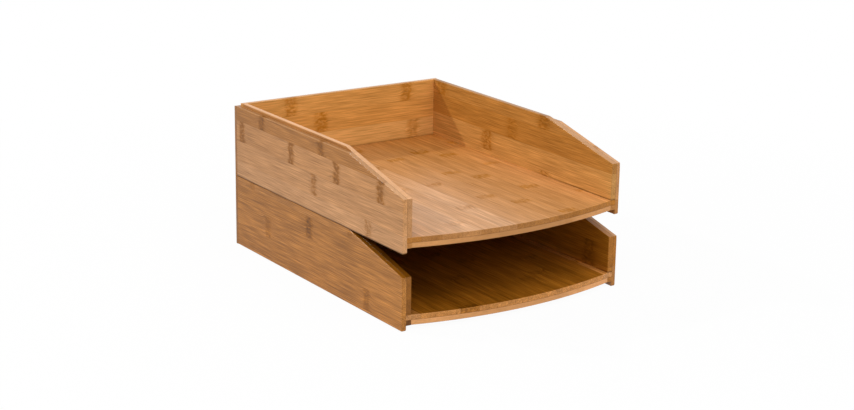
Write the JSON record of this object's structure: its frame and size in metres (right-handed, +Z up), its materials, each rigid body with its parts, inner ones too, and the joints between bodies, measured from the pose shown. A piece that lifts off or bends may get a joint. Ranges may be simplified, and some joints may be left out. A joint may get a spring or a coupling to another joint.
{
  "type": "letter tray stack",
  "caption": "Open-front bamboo letter trays, stacked by a tongue and skirt, with sloping sides and a bowed floor; the upper tray lifts off.",
  "frame": {"origin": "middle of the footprint, on the surface that the stack stands on", "axes": "+X to the right seen from the open front, +Y from the front to the back panel, +Z up"},
  "size_m": [0.25, 0.332, 0.1502],
  "materials": {
    "panel_outer_bamboo": "satin lacquer",
    "panel_inner_bamboo": "satin lacquer",
    "floor_top_bamboo": "satin lacquer",
    "floor_bottom_bamboo": "satin lacquer"
  },
  "bodies": {
    "lower_tray": {"lower_left_outer_board": "panel_outer_bamboo", "lower_left_inner_board": "panel_inner_bamboo", "lower_right_outer_board": "panel_outer_bamboo", "lower_right_inner_board": "panel_inner_bamboo", "lower_back_outer_board": "panel_outer_bamboo", "lower_back_inner_board": "panel_inner_bamboo", "lower_floor_top_ply": "floor_top_bamboo", "lower_floor_bottom_ply": "floor_bottom_bamboo", "lower_left_floor_rail": "floor_bottom_bamboo", "lower_right_floor_rail": "floor_bottom_bamboo"},
    "upper_tray": {"upper_left_outer_board": "panel_outer_bamboo", "upper_left_inner_board": "panel_inner_bamboo", "upper_right_outer_board": "panel_outer_bamboo", "upper_right_inner_board": "panel_inner_bamboo", "upper_back_outer_board": "panel_outer_bamboo", "upper_back_inner_board": "panel_inner_bamboo", "upper_floor_top_ply": "floor_top_bamboo", "upper_floor_bottom_ply": "floor_bottom_bamboo", "upper_left_floor_rail": "floor_bottom_bamboo", "upper_right_floor_rail": "floor_bottom_bamboo"}
  },
  "joints": [
    {"name": "upper_tray_lift", "type": "slide", "parent": "lower_tray", "child": "upper_tray", "axis": [0, 0, 1], "range_m": [0, 0.1]}
  ]
}
